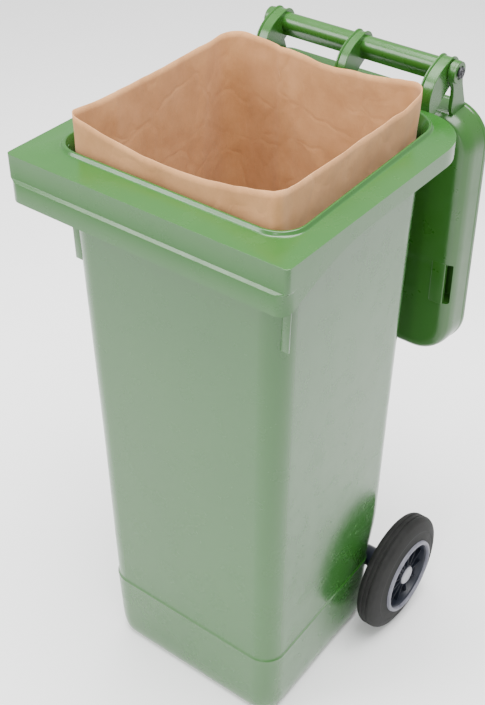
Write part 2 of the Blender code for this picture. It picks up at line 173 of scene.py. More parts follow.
def soften(rows):
    """Round the corners of a profile: each row is its numbers and, last, how far its corner is cut."""
    soft = [rows[0][:-1]]
    for before, row, after in zip(rows, rows[1:], rows[2:]):
        reach = row[-1]
        corner = row[:-1]
        if not reach:
            soft.append(corner)
            continue
        ends = []
        for other in (before[:-1], after[:-1]):
            gap = sum((one - two) ** 2 for one, two in zip(corner, other)) ** 0.5
            share = min(reach / gap, 0.48)
            ends.append([one + (two - one) * share for one, two in zip(corner, other)])
        for step in range(FILLET_STEPS + 1):
            part = step / FILLET_STEPS
            weights = ((1 - part) ** 2, 2 * part * (1 - part), part ** 2)
            soft.append([
                sum(weight * value for weight, value in zip(weights, values))
                for values in zip(ends[0], corner, ends[1])
            ])
    soft.append(rows[-1][:-1])
    return soft


def turned(profile, steps, centre=(0, 0, 0), side=1, closed=False):
    """Solid of revolution round the X axis through centre, from (x, radius) points."""
    loops = []
    for x, radius in profile:
        angles = [2 * pi * step / steps for step in range(steps)]
        loops.append([
            Vector((side * x, centre[1] + radius * cos(angle), centre[2] + radius * sin(angle)))
            for angle in angles
        ])
    return loft(loops, closed)


def rounded_box(low, high, radius):
    mesh = bmesh.new()
    bmesh.ops.create_cube(mesh, size=1.0)
    bmesh.ops.scale(mesh, vec=Vector(high) - Vector(low), verts=mesh.verts)
    bmesh.ops.translate(mesh, vec=(Vector(low) + Vector(high)) / 2, verts=mesh.verts)
    bmesh.ops.bevel(
        mesh, geom=list(mesh.edges), offset=radius, segments=3, profile=0.5, affect="EDGES"
    )
    return mesh


def join_meshes(parts):
    """One bmesh holding all the given ones."""
    whole = bmesh.new()
    for part in parts:
        data = bpy.data.meshes.new("part")
        part.to_mesh(data)
        part.free()
        whole.from_mesh(data)
        bpy.data.meshes.remove(data)
    return whole


def mirror(mesh, side):
    if side < 0:
        bmesh.ops.transform(mesh, matrix=Matrix.Scale(-1, 4, (1, 0, 0)), verts=mesh.verts)
    return mesh


def arc(centre, radius, start, end, steps):
    angles = [radians(start + (end - start) * step / steps) for step in range(steps + 1)]
    return [(centre[0] + radius * cos(angle), centre[1] + radius * sin(angle)) for angle in angles]


def smooth_step(value, low, high):
    part = min(max((value - low) / (high - low), 0), 1)
    return part * part * (3 - 2 * part)


# ---------------------------------------------------------------- materials


class Nodes:
    """A new material's node tree, with short ways to add what the finishes share."""

    def __init__(self, name):
        self.material = bpy.data.materials.new(name)
        self.material.use_nodes = True
        self.tree = self.material.node_tree
        self.shader = self.tree.nodes["Principled BSDF"]
        self.place = self.add("ShaderNodeTexCoord").outputs["Object"]

    def add(self, kind, **settings):
        node = self.tree.nodes.new(kind)
        for key, value in settings.items():
            setattr(node, key, value)
        return node

    def link(self, source, target):
        self.tree.links.new(source, target)

    def noise(self, scale, detail=3.0, roughness=0.55, stretch=(1, 1, 1)):
        mapping = self.add("ShaderNodeMapping")
        mapping.inputs["Scale"].default_value = stretch
        self.link(self.place, mapping.inputs["Vector"])
        texture = self.add("ShaderNodeTexNoise")
        texture.inputs["Scale"].default_value = scale
        texture.inputs["Detail"].default_value = detail
        texture.inputs["Roughness"].default_value = roughness
        self.link(mapping.outputs["Vector"], texture.inputs["Vector"])
        return texture.outputs["Fac"]

    def ramp(self, source, stops):
        ramp = self.add("ShaderNodeValToRGB")
        elements = ramp.color_ramp.elements
        while len(elements) < len(stops):
            elements.new(0.5)
        for element, (position, colour) in zip(elements, stops):
            element.position = position
            element.color = (*colour, 1.0) if len(colour) == 3 else colour
        self.link(source, ramp.inputs["Fac"])
        return ramp.outputs["Color"]

    def range(self, source, low, high, new_low, new_high):
        node = self.add("ShaderNodeMapRange")
        values = {"From Min": low, "From Max": high, "To Min": new_low, "To Max": new_high}
        for key, value in values.items():
            node.inputs[key].default_value = value
        self.link(source, node.inputs["Value"])
        return node.outputs["Result"]

    def mix(self, factor, first, second, blend="MIX"):
        node = self.add("ShaderNodeMix", data_type="RGBA", blend_type=blend)
        sockets = (node.inputs[0], node.inputs[6], node.inputs[7])
        for socket, value in zip(sockets, (factor, first, second)):
            if hasattr(value, "node"):
                self.link(value, socket)
            elif isinstance(value, (int, float)):
                socket.default_value = value
            else:
                socket.default_value = (*value, 1.0)
        return node.outputs[2]

    def bump(self, *layers):
        """Bump from (height, strength, distance) layers, one on top of another."""
        normal = None
        for height, strength, distance in layers:
            node = self.add("ShaderNodeBump")
            node.inputs["Strength"].default_value = strength
            node.inputs["Distance"].default_value = distance
            self.link(height, node.inputs["Height"])
            if normal:
                self.link(normal, node.inputs["Normal"])
            normal = node.outputs["Normal"]
        self.link(normal, self.shader.inputs["Normal"])

    def set(self, **values):
        for key, value in values.items():
            self.shader.inputs[key.replace("_", " ")].default_value = value


def moulded_plastic(name, light, dark, gloss):
    """Injection-moulded plastic: faint flow clouding, fine scuffs and an orange-peel surface."""
    nodes = Nodes(name)
    clouds = nodes.noise(3.2, 4.0, 0.6, (1, 1, 0.5))
    colour = nodes.ramp(clouds, [(0.34, dark), (0.66, light)])
    scuffs = nodes.noise(160.0, 6.0, 0.72, (1, 1, 0.16))
    worn = nodes.range(scuffs, 0.62, 0.80, 0.0, 0.10)
    pale = tuple(min(1.0, value * 1.6 + 0.05) for value in light)
    nodes.link(nodes.mix(worn, colour, pale), nodes.shader.inputs["Base Color"])
    uneven = nodes.noise(24.0, 5.0, 0.65)
    roughness = nodes.range(uneven, 0.3, 0.75, gloss - 0.05, gloss + 0.10)
    nodes.link(roughness, nodes.shader.inputs["Roughness"])
    peel = nodes.noise(420.0, 2.0, 0.5)
    waves = nodes.noise(9.0, 2.0, 0.4)
    nodes.bump((waves, 0.05, 0.002), (peel, 0.03, 0.0004), (scuffs, 0.02, 0.0004))
    nodes.set(IOR=1.49, Coat_Weight=0.12, Coat_Roughness=0.12)
    return nodes.material


def tyre_rubber(name):
    nodes = Nodes(name)
    dust = nodes.noise(38.0, 6.0, 0.7)
    colour = nodes.ramp(dust, [(0.30, (0.006, 0.006, 0.006)), (0.72, (0.020, 0.020, 0.019))])
    nodes.link(colour, nodes.shader.inputs["Base Color"])
    nodes.link(nodes.range(dust, 0.2, 0.8, 0.58, 0.86), nodes.shader.inputs["Roughness"])
    grain = nodes.noise(900.0, 3.0, 0.6)
    nodes.bump((dust, 0.16, 0.002), (grain, 0.25, 0.0006))
    nodes.set(IOR=1.5, Specular_IOR_Level=0.22)
    return nodes.material


def satin_plastic(name, dark, light, roughness=0.36):
    nodes = Nodes(name)
    clouds = nodes.noise(60.0, 5.0, 0.6)
    nodes.link(nodes.ramp(clouds, [(0.3, dark), (0.7, light)]), nodes.shader.inputs["Base Color"])
    uneven = nodes.range(clouds, 0.25, 0.8, roughness - 0.06, roughness + 0.12)
    nodes.link(uneven, nodes.shader.inputs["Roughness"])
    grain = nodes.noise(700.0, 2.0, 0.5)
    nodes.bump((grain, 0.08, 0.0005))
    nodes.set(IOR=1.5, Specular_IOR_Level=0.30)
    return nodes.material


def zinc_steel(name):
    """Zinc-plated steel with drawing lines along X."""
    nodes = Nodes(name)
    lines = nodes.noise(420.0, 3.0, 0.6, (0.04, 1, 1))
    blotches = nodes.noise(55.0, 4.0, 0.6)
    plating = nodes.ramp(blotches, [(0.3, (0.42, 0.42, 0.44)), (0.7, (0.60, 0.61, 0.63))])
    nodes.link(plating, nodes.shader.inputs["Base Color"])
    nodes.link(nodes.range(lines, 0.2, 0.8, 0.26, 0.48), nodes.shader.inputs["Roughness"])
    nodes.bump((lines, 0.10, 0.0004))
    nodes.set(Metallic=1.0)
    return nodes.material


KRAFT_DARK = (0.350, 0.162, 0.056)
KRAFT = (0.430, 0.212, 0.082)
KRAFT_LIGHT = (0.505, 0.266, 0.114)


def kraft_paper(name):
    """Brown kraft paper: pulp clouding, long fibres, faint ripples and soft creases."""
    nodes = Nodes(name)
    pulp = nodes.noise(14.0, 6.0, 0.68)
    colour = nodes.ramp(pulp, [(0.28, KRAFT_DARK), (0.52, KRAFT), (0.78, KRAFT_LIGHT)])
    fibres = nodes.noise(520.0, 4.0, 0.7, (1, 1, 0.10))
    flecks = nodes.range(fibres, 0.62, 0.80, 0.0, 0.34)
    nodes.link(nodes.mix(flecks, colour, (0.60, 0.38, 0.20)), nodes.shader.inputs["Base Color"])
    crumple = nodes.add("ShaderNodeTexVoronoi", feature="DISTANCE_TO_EDGE")
    crumple.inputs["Scale"].default_value = 11.0
    bend = nodes.noise(6.0, 3.0, 0.6)
    shifted = nodes.mix(0.16, nodes.place, bend, "ADD")
    nodes.link(shifted, crumple.inputs["Vector"])
    ridge = nodes.range(crumple.outputs["Distance"], 0.0, 0.09, 0.0, 1.0)
    ripple = nodes.noise(26.0, 5.0, 0.6, (1, 1, 0.45))
    nodes.bump((ridge, 0.16, 0.0022), (ripple, 0.34, 0.004), (fibres, 0.14, 0.0006))
    nodes.link(nodes.range(pulp, 0.2, 0.8, 0.80, 0.94), nodes.shader.inputs["Roughness"])
    nodes.set(IOR=1.4, Sheen_Weight=0.10, Sheen_Roughness=0.6)
    return nodes.material


GREEN_LIGHT = (0.024, 0.100, 0.017)
GREEN_DARK = (0.020, 0.090, 0.014)
body_green = moulded_plastic("bin_green", GREEN_LIGHT, GREEN_DARK, 0.23)
lid_green = moulded_plastic("lid_green", (0.020, 0.086, 0.010), (0.016, 0.076, 0.008), 0.30)
handle_green = moulded_plastic("handle_green", (0.022, 0.094, 0.011), (0.018, 0.084, 0.009), 0.26)
rubber = tyre_rubber("tyre_black")
rim_dark = satin_plastic("rim_blue_black", (0.006, 0.008, 0.014), (0.013, 0.016, 0.026))
ring_grey = satin_plastic("rim_ring_grey", (0.10, 0.10, 0.13), (0.17, 0.17, 0.20), 0.42)
cap_grey = satin_plastic("hub_cap_grey", (0.20, 0.20, 0.235), (0.32, 0.32, 0.35), 0.40)
pin_black = satin_plastic("hinge_pin_black", (0.012, 0.012, 0.015), (0.026, 0.026, 0.032), 0.30)
zinc = zinc_steel("zinc_plate")
paper = kraft_paper("kraft_brown")


# ---------------------------------------------------------------- body


def body_profile():
    """Rows from the floor inside, up over the lip, round the skirt and down to the foot rim.

    A row is height over the tub's base, share of the skirt's side rise, half width, front, rear,
    front and rear corner radius, spread towards the front, and the reach of the fillet there.
    """
    top = COLLAR_TOP - FOOT_HEIGHT
    lip = top + LIP_HEIGHT
    half = COLLAR_HALF
    rear = COLLAR_REAR
    under = top - 0.0036
    wide = TUB_SPREAD
    return [
        (0.0035, 0, 0.1400, 0.0800, 0.3530, 0.024, 0.020, wide, 0),
        (0.0055, 0, 0.1540, 0.0680, 0.3640, 0.030, 0.028, wide, 0.012),
        (0.1290, 0, 0.1577, 0.0650, 0.3690, 0.033, 0.029, wide, 0.010),
        (0.2190, 0, 0.1590, 0.0640, 0.4010, 0.033, 0.042, wide, 0.020),
        (0.4440, 0, 0.1620, 0.0620, 0.4045, 0.033, 0.042, wide, 0.050),
        (0.8080, 0, 0.1695, 0.0570, 0.4090, 0.033, 0.043, wide, 0.050),
        (0.9360, 0, 0.1728, 0.0556, 0.4120, 0.033, 0.043, wide, 0.012),
        (lip, 0, 0.1806, 0.0506, 0.4206, 0.038, 0.047, wide, 0.0022),
        (lip, 0, 0.1836, 0.0470, 0.4242, 0.040, 0.050, wide, 0.0018),
        (top + 0.0002, 0, 0.1862, 0.0440, 0.4272, 0.042, 0.053, wide, 0.0030),
        (top, 0, half - 0.0050, 0.0050, rear - 0.0050, 0.0030, 0.0755, 0, 0),
        (top, 0, half, 0.0, rear, 0.0065, 0.080, 0, 0.0034),
        (BAND_SPLIT + 0.0032, 0.5, half, 0.0, rear, 0.0065, 0.080, 0, 0.0016),
        (BAND_SPLIT, 0.5, half, -BAND_STEP, rear, 0.018, 0.080, 0, 0.0016),
        (SKIRT_FRONT_BOTTOM, 1, half, -BAND_STEP, rear, 0.018, 0.080, 0, 0.0011),
        (SKIRT_FRONT_BOTTOM, 1, half - WALL, WALL - BAND_STEP, rear - WALL, 0.015, 0.077, 0, 0.0010),
        (under, 0, half - WALL, WALL, rear - WALL, 0.010, 0.077, 0, 0.003),
        (under, 0, 0.1775, 0.0520, 0.4170, 0.036, 0.046, wide, 0.006),
        (0.8080, 0, 0.1725, 0.0540, 0.4120, 0.036, 0.046, wide, 0.060),
        (0.4440, 0, 0.1650, 0.0590, 0.4075, 0.036, 0.045, wide, 0.060),
        (0.2155, 0, 0.1620, 0.0610, 0.4040, 0.036, 0.045, wide, 0.022),
        (0.1388, 0, 0.1608, 0.0620, 0.3762, 0.036, 0.032, wide, 0.0030),
        (0.1351, 0, 0.1629, 0.0600, 0.3752, 0.037, 0.032, wide, 0.0018),
        (0.1300, 0, 0.1625, 0.0604, 0.3724, 0.037, 0.030, wide, 0.004),
        (0.0150, 0, 0.1590, 0.0632, 0.3690, 0.036, 0.028, wide, 0.030),
        (0.0000, 0, 0.1515, 0.0690, 0.3620, 0.033, 0.023, wide, 0.010),
        (0.0000, 0, 0.1465, 0.0735, 0.3580, 0.030, 0.020, wide, 0.001),
        (-FOOT_HEIGHT, 0, 0.1455, 0.0745, 0.3570, 0.029, 0.019, wide, 0.0012),
        (-FOOT_HEIGHT, 0, 0.1300, 0.0900, 0.3420, 0.018, 0.010, wide, 0.0012),
        (0.0000, 0, 0.1290, 0.0910, 0.3410, 0.018, 0.010, wide, 0),
    ]


def skirt_rise(y):
    part = min(max((y - FRONT) / SKIRT_RISE_LENGTH, 0), 1)
    return SKIRT_SIDE_RISE * sin(pi / 2 * part)


def body_loop(height, share, half, front, rear, front_radius, rear_radius, spread):
    outline = rounded_outline(half, FRONT + front, FRONT + rear, front_radius, rear_radius, spread)
    base = FOOT_HEIGHT + height
    return [Vector((x, y, base + share * skirt_rise(y))) for x, y in outline]


def corner_rib(side):
    """Upright plate under a front corner of the collar, from inside the tub's wall outwards."""
    near = FRONT + RIB_DEPTH
    far = near + RIB_THICKNESS
    loops = []
    for height, start, end in RIB_ROWS:
        corners = ((start, near), (end, near), (end, far), (start, far))
        loops.append([Vector((x, y, FOOT_HEIGHT + height)) for x, y in corners])
    mesh = mirror(loft(loops), side)
    bmesh.ops.bevel(mesh, geom=list(mesh.edges), offset=0.0006, segments=2, profile=0.5, affect="EDGES")
    return mesh


def axle_lug(side):
    """Half-round lug behind the tub that holds the axle."""
    outline = arc((AXLE.y, AXLE.z), 0.0173, -90, 90, 16)
    outline += [(FRONT + 0.3695, AXLE.z + 0.029), (FRONT + 0.3695, AXLE.z - 0.0173)]
    mesh = bmesh.new()
    rows = []
    for x in (LUG_INNER, LUG_OUTER):
        outer = [mesh.verts.new((side * x, y, z)) for y, z in outline]
        inner = []
        for y, z in outline:
            reach = Vector((y - AXLE.y, z - AXLE.z)).normalized() * BORE_RADIUS
            inner.append(mesh.verts.new((side * x, AXLE.y + reach.x, AXLE.z + reach.y)))
        rows.append((outer, inner))
    count = len(outline)
    (outer_a, inner_a), (outer_b, inner_b) = rows
    for index in range(count):
        after = (index + 1) % count
        mesh.faces.new((outer_a[index], outer_a[after], outer_b[after], outer_b[index]))
        mesh.faces.new((inner_a[index], inner_a[after], inner_b[after], inner_b[index]))
        mesh.faces.new((outer_a[index], outer_a[after], inner_a[after], inner_a[index]))
        mesh.faces.new((outer_b[index], outer_b[after], inner_b[after], inner_b[index]))
    return mesh


def build_body():
    loops = [body_loop(*row) for row in soften(body_profile())]
    add_piece("bin_shell", loft(loops), "bin", body_green, ["bin_body"])
    for side, name in ((1, "right"), (-1, "left")):
        add_piece("corner_rib_" + name, corner_rib(side), "bin", body_green)
        add_piece("axle_lug_" + name, axle_lug(side), "bin", body_green)


# ---------------------------------------------------------------- handle


def about_hinge(y, z):
    return HINGE.y + y, HINGE.z + z


def build_bar():
    """Round bar with an open channel below it, closed at its ends."""
    radius = 0.0140
    outline = arc((0, 0), radius, 205, -25, 36)
    outline += [(0.0098, -0.0112), (0.0094, -0.0172), (0.0072, -0.0180), (0.0066, -0.0120)]
    outline += [(-0.0066, -0.0120), (-0.0072, -0.0180), (-0.0094, -0.0172), (-0.0098, -0.0112)]
    half = 0.1503
    loops = []
    for x in (-half, half):
        loops.append([Vector((x, *about_hinge(y, z))) for y, z in outline])
    add_piece("grip_bar", loft(loops), "bin", handle_green, ["handle_bar"], sharp=40)


def bracket_outline(grow):
    front = [
        (-0.0553, -0.0660),
        (-0.0553, -0.0415),
        (-0.0548 - grow, -0.0300),
        (-0.0537 - grow, -0.0235 + grow / 2),
        (-0.0520 - grow, -0.0180 + grow / 2),
        (-0.0494 - grow, -0.0118 + grow / 2),
        (-0.0460 - grow, -0.0060 + grow),
        (-0.0415 - grow / 2, -0.0005 + grow),
        (-0.0360 - grow / 2, 0.0040 + grow),
        (-0.0302 - grow / 2, 0.0076 + grow),
        (-0.0240 - grow / 2, 0.0105 + grow),
        (-0.0150 - grow / 2, 0.0137 + grow),
    ]
    eye = arc((0, 0), 0.0176 + grow, 112, -75, 26)
    return front + eye + [(-0.0200, -0.0330 - grow), (-0.0440, -0.0550 - grow / 2)]


def build_bracket(name, low, high):
    """Bracket with a raised flange round each side and softened edges."""
    flange = 0.0026
    grow = 0.0022
    edge = 0.0006
    sections = (
        (low, grow - edge),
        (low + edge, grow),
        (low + flange - edge, grow),
        (low + flange, grow - edge),
        (low + flange + 0.001, 0.0),
        (high - flange - 0.001, 0.0),
        (high - flange, grow - edge),
        (high - flange + edge, grow),
        (high - edge, grow),
        (high, grow - edge),
    )
    loops = []
    for x, extra in sections:
        loops.append([Vector((x, *about_hinge(y, z))) for y, z in bracket_outline(extra)])
    add_piece(name + "_casting", loft(loops), "bin", handle_green, [name], sharp=38)


def build_hinge_pin(side, name):
    profile = [
        (0.1300, 0.0042),
        (0.1308, 0.0050),
        (0.1644, 0.0050),
        (0.1646, 0.0078),
        (0.1650, 0.0082),
        (0.1662, 0.0082),
        (0.1670, 0.0076),
        (0.1672, 0.0062),
        (0.1662, 0.0058),
        (0.1660, 0.0030),
        (0.1674, 0.0026),
        (0.1676, 0.0004),
    ]
    mesh = turned(profile, 40, HINGE, side)
    node = "hinge_pin_" + name
    add_piece("pin_" + name, mesh, "bin", pin_black, [node], sharp=40)


def build_handle():
    build_bar()
    build_bracket("handle_bracket_right", BRACKET_INNER, BRACKET_OUTER)
    build_bracket("handle_bracket_centre", -BRACKET_CENTRE_HALF, BRACKET_CENTRE_HALF)
    build_bracket("handle_bracket_left", -BRACKET_OUTER, -BRACKET_INNER)
    for side, name in ((1, "right"), (-1, "left")):
        build_hinge_pin(side, name)


# ---------------------------------------------------------------- lid


LID_HALF = 0.200
LID_FRONT = -0.487
LID_REAR = -0.0593
LID_RIM = -0.0405
LID_FRONT_RADIUS = 0.066
LID_REAR_RADIUS = 0.058
GRIP_FRONT = -0.3760
GRIP_REAR = -0.3040
STRAP_LOW = (0.1600, GRIP_FRONT - 0.001, 0.0060)
STRAP_HIGH = (0.1835, GRIP_REAR + 0.001, 0.0135)

# Outside of a grip's pan across the closed lid, as (x, z) about the hinge
PAN_SECTION = (
    (0.1635, -0.0210),
    (0.1965, -0.0210),
    (0.1965, -0.0050),
    (0.1890, 0.0065),
    (0.1800, 0.0098),
    (0.1635, 0.0103),
)


def lid_profile():
    """Closed lid about the hinge: height, inset from its outline, corner radius loss, fillet.

    The crown follows, from the last of these rows to near the lid's middle.
    """
    crown_height = 0.0122
    crown_inset = 0.0600
    crown_loss = 0.0460
    soft = soften([
        (0.0095, crown_inset, crown_loss, 0.0),
        (0.0085, 0.0205, 0.0205, 0.004),
        (0.0065, 0.0130, 0.0130, 0.004),
        (0.0020, 0.0082, 0.0082, 0.003),
        (-0.0060, 0.0055, 0.0055, 0.006),
        (-0.0400, 0.0031, 0.0031, 0.0008),
        (-0.0405, 0.0026, 0.0026, 0.0),
        (-0.0405, 0.0006, 0.0, 0.0008),
        (-0.0397, 0.0, 0.0, 0.0008),
        (-0.0335, 0.0002, 0.0, 0.0010),
        (-0.0322, 0.0011, 0.0010, 0.0010),
        (-0.0050, 0.0026, 0.0026, 0.006),
        (0.0040, 0.0055, 0.0055, 0.003),
        (0.0090, 0.0110, 0.0110, 0.004),
        (0.0115, 0.0200, 0.0200, 0.005),
        (crown_height, crown_inset, crown_loss, 0.0),
    ])
    crown_rows = 22
    last_inset = 0.1900
    for step in range(1, crown_rows + 1):
        part = step / crown_rows
        height = crown_height + 0.0015 * sin(pi / 2 * part)
        inset = crown_inset + (last_inset - crown_inset) * part
        soft.append((height, inset, crown_loss + 0.0140 * part))
    return soft


def lid_detail(x, y, height):
    """Raised field behind the grips, bounded by a curved step, on the lid's outer face."""
    step_depth = 0.176
    bow = 0.010
    raised = 0.0014
    edge = LID_FRONT + step_depth + bow * cos(pi * x / 0.32)
    field = smooth_step(y, edge - 0.002, edge + 0.002)
    inside = smooth_step(height, 0.004, 0.008)
    return raised * field * inside


def lid_loop(height, inset, radius_loss, outer):
    front_radius = max(LID_FRONT_RADIUS - radius_loss, 0.006)
    rear_radius = max(LID_REAR_RADIUS - radius_loss, 0.006)
    outline = rounded_outline(
        LID_HALF - inset, LID_FRONT + inset, LID_REAR - inset, front_radius, rear_radius
    )
    loop = []
    for x, y in outline:
        raised = lid_detail(x, y, height) if outer else 0.0
        loop.append(Vector((x, y, height + raised)))
    return loop


def hang(mesh):
    """Turn a mesh from the closed lid's place about the hinge to the open lid's place."""
    turn = Matrix.Translation(HINGE) @ Matrix.Rotation(pi / 2, 4, "X")
    bmesh.ops.transform(mesh, matrix=turn, verts=mesh.verts)
    return mesh


def cut(piece, tool_mesh, operation):
    """Boolean with a tool that is then removed, applied to the piece's own mesh."""
    data = bpy.data.meshes.new("tool")
    bmesh.ops.recalc_face_normals(tool_mesh, faces=tool_mesh.faces)
    tool_mesh.to_mesh(data)
    tool_mesh.free()
    tool = bpy.data.objects.new("tool", data)
    bpy.context.collection.objects.link(tool)
    modifier = piece.modifiers.new("cut", "BOOLEAN")
    modifier.operation = operation
    modifier.solver = "EXACT"
    modifier.object = tool
    graph = bpy.context.evaluated_depsgraph_get()
    shaped = bpy.data.meshes.new_from_object(piece.evaluated_get(graph))
    piece.modifiers.clear()
    piece.data = shaped
    bpy.data.objects.remove(tool, do_unlink=True)


def lid_arm(side):
    """Flat arm of the lid with its boss round the hinge pin, in the closed place."""
    outline = arc((0, 0), 0.0162, 95, -95, 30)
    outline += [
        (-0.0120, -0.0168),
        (-0.0240, -0.0195),
        (-0.0420, -0.0260),
        (-0.0520, -0.0300),
        (-0.0635, -0.0335),
        (-0.0672, 0.0000),
        (-0.0600, 0.0048),
        (-0.0520, 0.0065),
        (-0.0440, 0.0060),
        (-0.0340, 0.0052),
        (-0.0250, 0.0060),
        (-0.0170, 0.0092),
        (-0.0090, 0.0138),
    ]
    edge = 0.0007
    sections = ((0.1540, -edge), (0.1540 + edge, 0), (0.1600 - edge, 0), (0.1600, -edge))
    centre = Vector((-0.036, -0.010))
    loops = []
    for x, grow in sections:
        loop = []
        for y, z in outline:
            out = (Vector((y, z)) - centre).normalized() * grow
            loop.append(Vector((x, y + out.x, z + out.y)))
        loops.append(loop)
    plate = loft(loops)
    boss_rows = [
        (0.1526, 0.0158),
        (0.1630, 0.0158),
        (0.1637, 0.0150),
        (0.1637, 0.0100),
        (0.1620, 0.0094),
        (0.1620, 0.0056),
        (0.1526, 0.0056),
    ]
    boss = turned(boss_rows, 48, closed=True)
    return hang(mirror(join_meshes([plate, boss]), side))


def build_lid():
    profile = lid_profile()
    outer_from = next(index for index, row in enumerate(profile) if row[0] < LID_RIM + 0.0001)
    loops = [lid_loop(*row, index > outer_from) for index, row in enumerate(profile)]
    lid = add_piece("lid_shell", hang(loft(loops)), "lid", lid_green, ["lid"])
    for side in (1, -1):
        pan_ends = (GRIP_FRONT - WALL, GRIP_REAR + WALL)
        pan = loft([[Vector((x, y, z)) for x, z in PAN_SECTION] for y in pan_ends])
        cut(lid, hang(mirror(pan, side)), "UNION")
        recess = rounded_box((0.1665, GRIP_FRONT, -0.0180), (0.1930, GRIP_REAR, 0.0400), 0.003)
        cut(lid, hang(mirror(recess, side)), "DIFFERENCE")
    lid.data.shade_smooth()
    lid.data.set_sharp_from_angle(angle=radians(32))
    for side, name in ((1, "right"), (-1, "left")):
        strap = rounded_box(STRAP_LOW, STRAP_HIGH, 0.0012)
        add_piece("grip_strap_" + name, hang(mirror(strap, side)), "lid", lid_green)
        add_piece("lid_arm_" + name, lid_arm(side), "lid", lid_green)


# ---------------------------------------------------------------- wheels


def tyre_profile():
    """Solid tyre: flat inner side, tread with two grooves, and a sloping outer shoulder."""
    groove = 0.0016
    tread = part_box("tyre_right")[1][2] - AXLE.z
    rows = [
        (0.1857, 0.0664, 0.0006),
        (0.1856, 0.0702, 0.001),
        (0.1845, 0.0790, 0.003),
        (0.1845, 0.0960, 0.004),
        (0.1880, 0.1035, 0.004),
        (0.1935, tread, 0.003),
    ]
    for middle in (0.1990, 0.2070):
        rows += [
            (middle - 0.0016, tread, 0.0004),
            (middle - 0.0009, tread - groove, 0.0004),
            (middle + 0.0009, tread - groove, 0.0004),
            (middle + 0.0016, tread, 0.0004),
        ]
    rows += [
        (0.2120, tread, 0.003),
        (0.2180, 0.1030, 0.004),
        (0.2228, 0.0915, 0.004),
        (0.2244, 0.0850, 0.0012),
        (0.2239, 0.0836, 0.0008),
        (0.2260, 0.0730, 0.003),
        (0.2262, 0.0685, 0.001),
        (0.2262, 0.0664, 0.0006),
    ]
    return soften(rows)


def rim_dish(side):
    """Dark rim: seat, dish and hub boss turned, with ribs across the dish."""
    boss_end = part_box("wheel_rim_right")[0][0]
    rows = [
        (boss_end, BORE_RADIUS, 0),
        (boss_end, 0.0170, 0.001),
        (boss_end + 0.0012, 0.0175, 0.001),
        (0.1960, 0.0188, 0.004),
        (0.2006, 0.0290, 0.006),
        (0.2010, 0.0570, 0.003),
        (0.1880, 0.0622, 0.002),
        (0.1880, 0.0660, 0.0008),
        (0.2272, 0.0660, 0.0004),
        (0.2272, 0.0612, 0.001),
        (0.2240, 0.0590, 0.002),
        (0.2095, 0.0560, 0.005),
        (0.2070, 0.0300, 0.006),
        (0.2110, 0.0205, 0.004),
        (0.2215, 0.0178, 0.001),
        (0.2222, 0.0172, 0.0005),
        (0.2222, BORE_RADIUS, 0),
    ]
    parts = [turned(soften(rows), 96, AXLE, side, closed=True)]
    rib_count = 12
    for number in range(rib_count):
        rib = bmesh.new()
        near = [(0.2060, -0.0011), (0.2215, -0.0007), (0.2215, 0.0007), (0.2060, 0.0011)]
        far = [(0.2080, -0.0011), (0.2185, -0.0007), (0.2185, 0.0007), (0.2080, 0.0011)]
        loops = [
            [rib.verts.new((x, y, 0.0172)) for x, y in near],
            [rib.verts.new((x, y, 0.0592)) for x, y in far],
        ]
        for index in range(4):
            after = (index + 1) % 4
            rib.faces.new((loops[0][index], loops[0][after], loops[1][after], loops[1][index]))
        rib.faces.new(list(reversed(loops[0])))
        rib.faces.new(loops[1])
        edges = list(rib.edges)
        bmesh.ops.bevel(rib, geom=edges, offset=0.0004, segments=1, profile=0.5, affect="EDGES")
        spin = Matrix.Rotation(2 * pi * (number + 0.5) / rib_count, 4, "X")
        place = Matrix.Translation((0, AXLE.y, AXLE.z)) @ spin
        bmesh.ops.transform(rib, matrix=place, verts=rib.verts)
        parts.append(mirror(rib, side))
    return join_meshes(parts)


def build_spring(side, name):
    """Compression spring over the lock pin, wound in even turns."""
    node = "lock_spring_" + name
    low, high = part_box(node)
    centre_x = (low[0] + high[0]) / 2
    wire = 0.00045
    wire_sides = 8
    reach = (high[0] - low[0]) / 2 - wire - 0.0001
    turns = 5
    steps = 24 * turns
    bottom = low[2] + wire
    rise = high[2] - low[2] - 2 * wire
    mesh = bmesh.new()
    rows = []
    for step in range(steps + 1):
        angle = 2 * pi * turns * step / steps
        row = []
        for corner in range(wire_sides):
            turn = 2 * pi * corner / wire_sides
            out = reach + wire * cos(turn)
            height = bottom + rise * step / steps + wire * sin(turn)
            row.append(mesh.verts.new((centre_x + out * cos(angle), AXLE.y + out * sin(angle), height)))
        rows.append(row)
    for lower, upper in zip(rows, rows[1:]):
        for corner in range(wire_sides):
            after = (corner + 1) % wire_sides
            mesh.faces.new((lower[corner], lower[after], upper[after], upper[corner]))
    mesh.faces.new(list(reversed(rows[0])))
    mesh.faces.new(rows[-1])
    spring = add_piece("pin_spring_" + name, mesh, "wheel_" + name, zinc, [node], sharp=60)
    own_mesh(spring)


